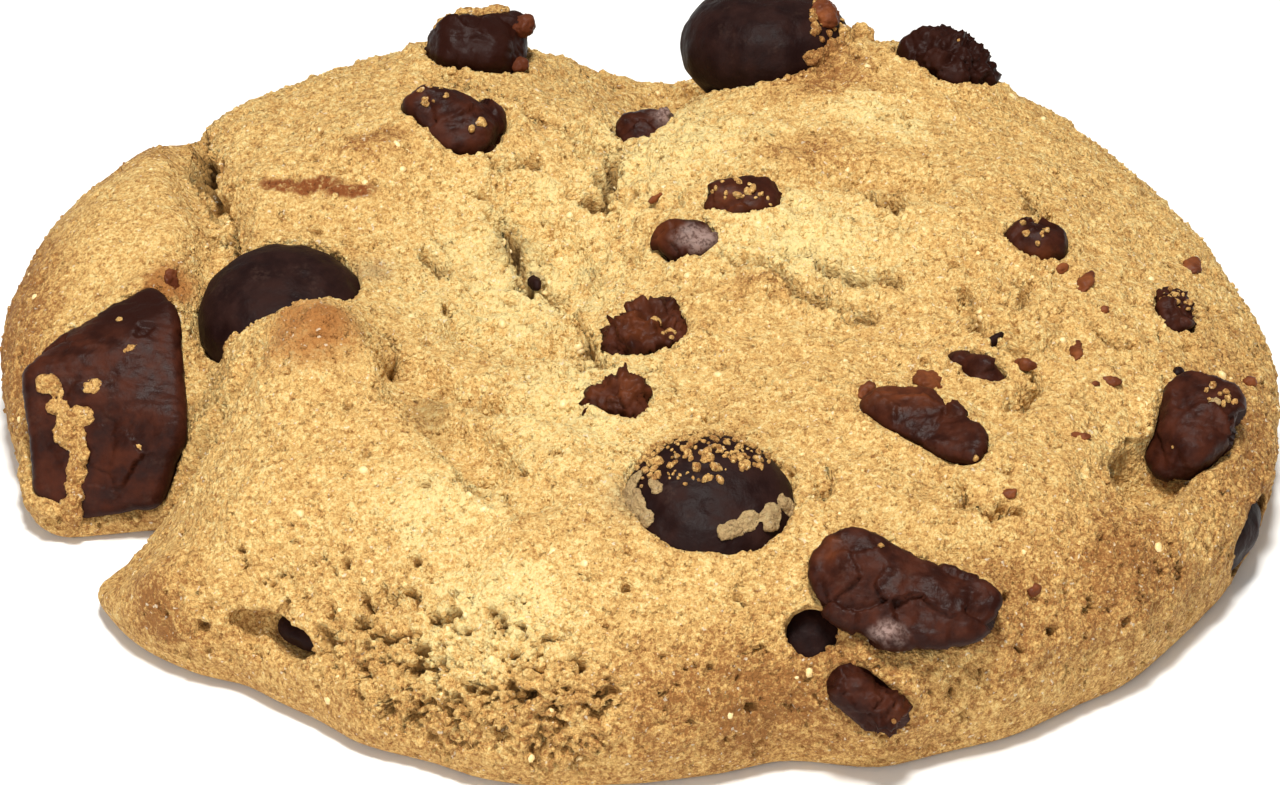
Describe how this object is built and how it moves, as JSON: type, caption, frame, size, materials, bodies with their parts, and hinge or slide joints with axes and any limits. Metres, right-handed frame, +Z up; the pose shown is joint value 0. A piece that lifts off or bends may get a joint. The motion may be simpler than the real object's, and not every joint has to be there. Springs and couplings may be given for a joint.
{
  "type": "chocolate chip cookie",
  "caption": "Soft-baked round cookie with a notched edge, a domed crumbly top and chocolate drops and chunks set in the dough.",
  "frame": {"origin": "the base mount's point, near the middle of the flat underside, on the surface the cookie rests on", "axes": "+X to the right along the longest side, +Y away from the viewer, +Z up out of the domed top"},
  "size_m": [0.077, 0.0688, 0.0166],
  "materials": {
    "baked_dough": "matte",
    "dark_chocolate": "satin",
    "brown_chocolate": "satin"
  },
  "bodies": {
    "root": {"cookie_dough": "baked_dough", "drop_left": "dark_chocolate", "drop_centre": "dark_chocolate", "drop_back": "dark_chocolate", "drop_right_edge": "dark_chocolate", "drop_pit": "dark_chocolate", "drop_front_hollow": "dark_chocolate", "drop_back_wall": "dark_chocolate", "base_drop_front": "dark_chocolate", "chunk_left": "brown_chocolate", "chunk_back_rim": "brown_chocolate", "chunk_back_left": "brown_chocolate", "chunk_back_right": "brown_chocolate", "chunk_valley": "brown_chocolate", "chunk_mid_upper": "brown_chocolate", "chunk_mid_lower": "brown_chocolate", "chunk_mid_a": "brown_chocolate", "chunk_mid_b": "brown_chocolate", "shard_right": "brown_chocolate", "shard_front": "brown_chocolate", "chunk_right": "brown_chocolate", "chunk_front": "brown_chocolate", "chunk_small_right": "brown_chocolate", "shard_small_right": "brown_chocolate", "chip_far_right": "brown_chocolate", "chunk_back_wall_left": "brown_chocolate", "chunk_back_wall_right": "brown_chocolate", "base_chunk_left": "brown_chocolate", "base_chunk_right": "brown_chocolate"}
  },
  "joints": []
}
